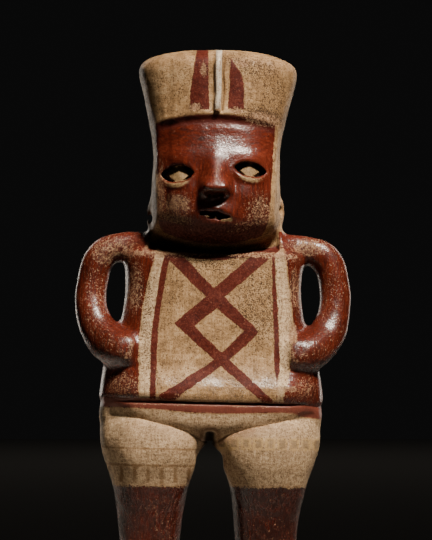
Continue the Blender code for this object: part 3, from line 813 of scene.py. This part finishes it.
    # Red slip, rubbed to a shine in strokes, and duller and darker down the shins
    tone = add(tree, "Math", broad, 0.7, operation="MULTIPLY")
    tone = add(tree, "Math", rubs, 1.3, tone, operation="MULTIPLY_ADD")
    tone = add(tree, "Math", grit, 0.6, tone, operation="MULTIPLY_ADD")
    low = add(tree, "MapRange", level, 40.0, 26.0, 0.0, 0.3)
    tone = add(tree, "Math", tone, low, operation="SUBTRACT")
    tone = add(tree, "MapRange", tone, 0.9, 1.7, 0.0, 1.0)
    shine = add(tree, "MapRange", rubs, 0.3, 0.7, 0.36, 0.2)
    red = (add(tree, "ValToRGB", tone, colours=("#260B06", "#4E1A0E", "#6B2D1D")), shine, 0.5)
    # Cream slip, grainy, and stained by soil and smoke
    tone = add(tree, "Math", broad, middling, operation="ADD")
    tone = add(tree, "Math", tone, 0.75, operation="MULTIPLY")
    tone = add(tree, "Math", mottle, 0.5, tone, operation="MULTIPLY_ADD")
    tone = add(tree, "Math", grit, 0.7, tone, operation="MULTIPLY_ADD")
    tone = add(tree, "Math", upright, 0.5, tone, operation="MULTIPLY_ADD")
    tone = add(tree, "Math", level_strokes, 0.6, tone, operation="MULTIPLY_ADD")
    tone = add(tree, "MapRange", tone, 1.6, 2.25, 0.0, 1.0)
    shine = add(tree, "MapRange", rubs, 0.3, 0.7, 0.62, 0.42)
    polished = add(tree, "MapRange", within(tree, level, 43.0, 3.4), 0.0, 2.0, 0.0, 1.0)
    shine = add(tree, "Math", polished, -0.27, shine, operation="MULTIPLY_ADD")
    cream = (add(tree, "ValToRGB", tone, colours=("#5E462D", "#947450", "#B89A74")), shine, 0.6)
    # Red paint, drawn on the cream and less rubbed
    tone = add(tree, "Math", middling, mottle, operation="ADD")
    tone = add(tree, "Math", grit, tone, operation="ADD")
    tone = add(tree, "MapRange", tone, 1.1, 1.9, 0.0, 1.0)
    paint = (add(tree, "ValToRGB", tone, colours=("#320E07", "#49180E", "#602C1F")), 0.6, 0.7)

    # Old soil, rubbed into the cream in brown clouds and black pinholes. Under the chin there are
    # more of both, as painted shade
    cloudy = add(tree, "MapRange", stains, 0.5, 0.74, 0.0, 0.7)
    cloudy = add(tree, "Math", soot_and_chin_shade, 0.3, cloudy, operation="MULTIPLY_ADD")
    cream = coat(tree, cream, (linear("#7A5C3A"), 0.6, 0.5), cloudy)
    # Greyer and rougher on the thighs and on the strips outside the stripes
    outside_stripes = gather(
        tree, "MAXIMUM",
        add(tree, "Math", hand_line(tree, level, STRIPE_LEFT), across, operation="SUBTRACT"),
        add(tree, "Math", across, hand_line(tree, level, STRIPE_RIGHT), operation="SUBTRACT"),
    )
    greyed = gather(
        tree, "MAXIMUM", gather(tree, "MINIMUM", outside_stripes, panel), thighs
    )
    greyed = add(tree, "MapRange", greyed, 0.0, 0.4, 0.0, 0.75)
    tone = add(tree, "Math", mottle, 0.6, operation="MULTIPLY")
    tone = add(tree, "Math", grit, tone, operation="ADD")
    tone = add(tree, "Math", upright, 0.7, tone, operation="MULTIPLY_ADD")
    tone = add(tree, "Math", level_strokes, 0.9, tone, operation="MULTIPLY_ADD")
    tone = add(tree, "MapRange", tone, 1.3, 1.95, 0.0, 1.0)
    grey = (add(tree, "ValToRGB", tone, colours=("#7C654B", "#AF9475", "#DAC09C")), 0.62, 0.6)
    cream = coat(tree, cream, grey, greyed)
    # What is left of the rows of squares once painted round the thighs
    faded = add(tree, "MapRange", stains, 0.3, 0.6, 0.4, 0.85)
    on_left = add(tree, "Math", across, -1.0, operation="MULTIPLY")
    on_left = gather(tree, "MINIMUM", on_left, thighs, front)
    on_right = gather(tree, "MINIMUM", across, thighs, front)
    beat = add(tree, "Math", across, 1.12, operation="PINGPONG")
    comb = add(tree, "Math", beat, 0.82, operation="SUBTRACT")
    comb = gather(tree, "MINIMUM", comb, within(tree, level, 28.7, 1.3))
    comb = gather(
        tree, "MAXIMUM", comb, within(tree, level, 30.3, 0.2), within(tree, level, 33.1, 0.12)
    )
    comb = gather(tree, "MINIMUM", comb, on_left)
    beat = add(tree, "Math", across, 1.0, operation="PINGPONG")
    square = gather(
        tree, "MINIMUM", within(tree, beat, 0.0, 0.68), within(tree, level, 34.3, 0.85), on_right
    )
    border = gather(tree, "MINIMUM", within(tree, square, 0.0, 0.16), on_right)
    dark = add(tree, "Math", covered(comb, 0.16), faded, operation="MULTIPLY")
    cream = coat(tree, cream, (linear("#735331"), 0.6, 0.5), dark)
    dull = add(tree, "Math", covered(square, 0.3, 1.6), faded, operation="MULTIPLY")
    cream = coat(tree, cream, (linear("#806A4E"), 0.6, 0.5), dull)
    pale_line = add(tree, "Math", covered(border, 0.2, 1.6), faded, operation="MULTIPLY")
    cream = coat(tree, cream, (linear("#B99866"), 0.5, 0.7), pale_line)
    pits = add(tree, "Math", mottle, 0.4, grit, operation="MULTIPLY_ADD")
    pits = add(tree, "Math", stains, -0.22, pits, operation="MULTIPLY_ADD")
    pits = add(tree, "Math", soot_and_chin_shade, -0.19, pits, operation="MULTIPLY_ADD")
    pits = add(tree, "Math", greyed, 0.06, pits, operation="MULTIPLY_ADD")
    pits = add(tree, "MapRange", pits, 0.445, 0.36, 0.0, 0.8)
    cream = coat(tree, cream, (linear("#33231A"), 0.7, 0.0), pits)

    cream_edge = gather(tree, "MAXIMUM", panel, head, thighs)
    finish = coat(tree, red, cream, covered(cream_edge))
    finish = coat(tree, finish, paint, covered(marks))
    hem_strip = gather(
        tree, "MINIMUM", add(tree, "Math", hem, -1.0, operation="MULTIPLY"),
        add(tree, "Math", below_band, -1.0, operation="MULTIPLY"),
    )
    # The band under the hem, paler and pinker
    pale_hem_strip = add(tree, "Math", covered(hem_strip, 0.15), 0.65, operation="MULTIPLY")
    finish = coat(tree, finish, (linear("#7C4436"), 0.5, 0.6), pale_hem_strip)
    # A dark red band under the headdress's edge: its paint, with painted shade under the overhang
    finish = coat(tree, finish, (linear("#40120A"), 0.55, 0.5), covered(shaded_brow_band, 0.35))
    finish = coat(tree, finish, (linear("#B7AB99"), 0.42, 0.7), covered(fillet, 0.06, 0.3))

    # Rubbed thin to a grey-buff veil, and through to the clay in specks and patches
    scuff = add(tree, "Math", mottle, 0.35, operation="MULTIPLY")
    scuff = add(tree, "Math", grit, 0.5, scuff, operation="MULTIPLY_ADD")
    scuff = add(tree, "Math", rubs, 0.15, scuff, operation="MULTIPLY_ADD")
    worn = gather(tree, "MAXIMUM", rubbed, add(tree, "Math", edge_wear, 0.9, operation="MULTIPLY"))
    veil = add(tree, "Math", worn, 0.22, scuff, operation="MULTIPLY_ADD")
    veil = add(tree, "MapRange", veil, 0.56, 0.74, 0.0, 0.35)
    finish = coat(tree, finish, (linear("#6E4E3B"), 0.55, 0.35), veil)
    gone = add(tree, "Math", worn, 0.26, scuff, operation="MULTIPLY_ADD")
    gone = add(tree, "MapRange", gone, 0.655, 0.715, 0.0, 0.88)
    finish = coat(tree, finish, clay, gone)
    # Lids, pellets and crumbs, where the slip never held
    pale = (add(tree, "ValToRGB", speckle, colours=("#4C3A26", "#705A3E", "#8C7555")), 0.6, 0.4)
    bare_edge = add(tree, "Math", mottle, 0.6, bare, operation="MULTIPLY_ADD")
    finish = coat(tree, finish, pale, add(tree, "MapRange", bare_edge, 0.6, 0.9, 0.0, 1.0))
    # Near-black painted shade in the cuts, pits and creases, and under the jaw with a ragged edge
    ragged = add(tree, "Math", mottle, -5.0, level, operation="MULTIPLY_ADD")
    shaded = add(tree, "MapRange", ragged, 67.4, 65.0, 0.0, 0.6)
    shaded = add(tree, "Math", shaded, soot_and_chin_shade, operation="MULTIPLY")
    shaded = gather(tree, "MINIMUM", shaded, add(tree, "Math", level, 64.6, operation="SUBTRACT"))
    shaded = add(tree, "Math", gone, -0.4, shaded, operation="MULTIPLY_ADD")
    shade_edge = gather(
        tree, "MAXIMUM", shade_in_cuts, shaded, add(tree, "Math", crease_shade, 0.6, operation="MULTIPLY")
    )
    shade_edge = add(tree, "Math", mottle, 0.4, shade_edge, operation="MULTIPLY_ADD")
    painted_shade_cover = add(tree, "MapRange", shade_edge, 0.4, 1.0, 0.0, 0.94)
    finish = coat(tree, finish, (linear("#170E08"), 0.85, 0.1), painted_shade_cover)

    colour, roughness, height = finish
    # The bridge of the nose and the jaw are dulled by touch
    bridge = gather(tree, "MINIMUM", within(tree, across, 0.2, 0.8), within(tree, level, 79.0, 2.4))
    chin = gather(tree, "MINIMUM", within(tree, across, 0.0, 9.0), within(tree, level, 68.0, 2.8))
    dulled = gather(tree, "MINIMUM", gather(tree, "MAXIMUM", bridge, chin), front)
    roughness = add(
        tree, "Math", covered(dulled, 0.8), 0.24, roughness, operation="MULTIPLY_ADD"
    )
    grain = add(tree, "Math", grit, 0.4, height, operation="MULTIPLY_ADD")
    grain = add(tree, "Math", rubs, 0.3, grain, operation="MULTIPLY_ADD")
    grain = add(tree, "Math", mottle, 0.6, grain, operation="MULTIPLY_ADD")
    bump = add(tree, "Bump", 0.8, 0.0004, None, grain)
    shader = tree.nodes.new("ShaderNodeBsdfPrincipled")
    shader.inputs["IOR"].default_value = 1.5
    # Rubbed slip is close and reflects more; matt slip and bare clay scatter the light
    closeness = add(tree, "MapRange", roughness, 0.26, 0.6, 0.62, 0.14)
    tree.links.new(closeness, shader.inputs["Specular IOR Level"])
    tree.links.new(colour, shader.inputs["Base Color"])
    tree.links.new(roughness, shader.inputs["Roughness"])
    tree.links.new(bump, shader.inputs["Normal"])
    output = tree.nodes.new("ShaderNodeOutputMaterial")
    tree.links.new(shader.outputs["BSDF"], output.inputs["Surface"])
    return material


def floor():
    """A wide, flat, pale floor."""
    bpy.ops.mesh.primitive_circle_add(
        vertices=96, radius=9, fill_type="NGON", location=(0, 0, -0.0004)
    )
    ground = bpy.context.active_object
    ground.name = "studio_floor"
    bpy.ops.object.transform_apply(location=True, rotation=True, scale=True)
    bpy.ops.object.mode_set(mode="EDIT")
    bpy.ops.mesh.select_all(action="SELECT")
    bpy.ops.mesh.inset(thickness=7.5)
    bpy.ops.object.mode_set(mode="OBJECT")
    return ground


def matt_paper():
    """Thick uncoated paper, pressed smooth: an even, dull pale grey with no sheen."""
    material = bpy.data.materials.new("matt_pale_paper")
    material.use_nodes = True
    shader = material.node_tree.nodes["Principled BSDF"]
    shader.inputs["Base Color"].default_value = linear("#C2BFB9")
    shader.inputs["Roughness"].default_value = 0.9
    return material


def softbox(name, place, target, power, width, height, spread=180):
    """A soft studio light, aimed."""
    light = bpy.data.lights.new(name, "AREA")
    light.shape = "RECTANGLE"
    light.size, light.size_y = width, height
    light.energy = power
    light.spread = math.radians(spread)
    light.color = linear("#FFF4E6")[:3]
    lamp = bpy.data.objects.new(name, light)
    bpy.context.scene.collection.objects.link(lamp)
    lamp.location = place
    lamp.rotation_euler = (Vector(target) - Vector(place)).to_track_quat("-Z", "Y").to_euler()


def camera(place, target):
    """The photograph's viewpoint, with the lens that gives its pixels their width."""
    view = bpy.data.cameras.new("photo_view")
    lens = bpy.data.objects.new("photo_view", view)
    bpy.context.scene.collection.objects.link(lens)
    way = Vector(target) - Vector(place)
    lens.location = place
    lens.rotation_euler = way.to_track_quat("-Z", "Y").to_euler()
    view.sensor_fit = "VERTICAL"
    view.sensor_height = 36
    view.lens = view.sensor_height * way.length / (FRAME_PIXELS * PIXEL)
    bpy.context.scene.camera = lens


figure = model_figure(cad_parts["figure"])
figure.data.materials.clear()
figure.data.materials.append(painted_terracotta())
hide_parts("figure")
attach(figure, "root")

ground = floor()
ground.data.materials.append(matt_paper())

camera((0.007, -1.5, 0.174), (0.007, 0.0, 0.2585))
softbox("key", (0.50, -0.87, 1.56), (0.0, 0.0, 0.24), 1.46, 0.26, 0.26, 21)
softbox("sheen", (0.85, -1.15, 0.72), (0.0, 0.0, 0.34), 0.02, 0.16, 0.22, 44)
softbox("left_rim", (-0.50, 0.75, 0.50), (0.0, 0.0, 0.29), 2.3, 0.08, 0.8)
softbox("right_rim", (0.50, 0.80, 0.50), (0.0, 0.0, 0.29), 1.6, 0.08, 0.8)
softbox("floor_glow", (0.0, 5.0, 3.5), (0.0, 5.0, 0.0), 2.2, 2.0, 2.0)
world = bpy.data.worlds.new("dim_studio")
world.use_nodes = True
world.node_tree.nodes["Background"].inputs["Color"].default_value = linear("#B8B8B8")
world.node_tree.nodes["Background"].inputs["Strength"].default_value = 0.01
bpy.context.scene.world = world
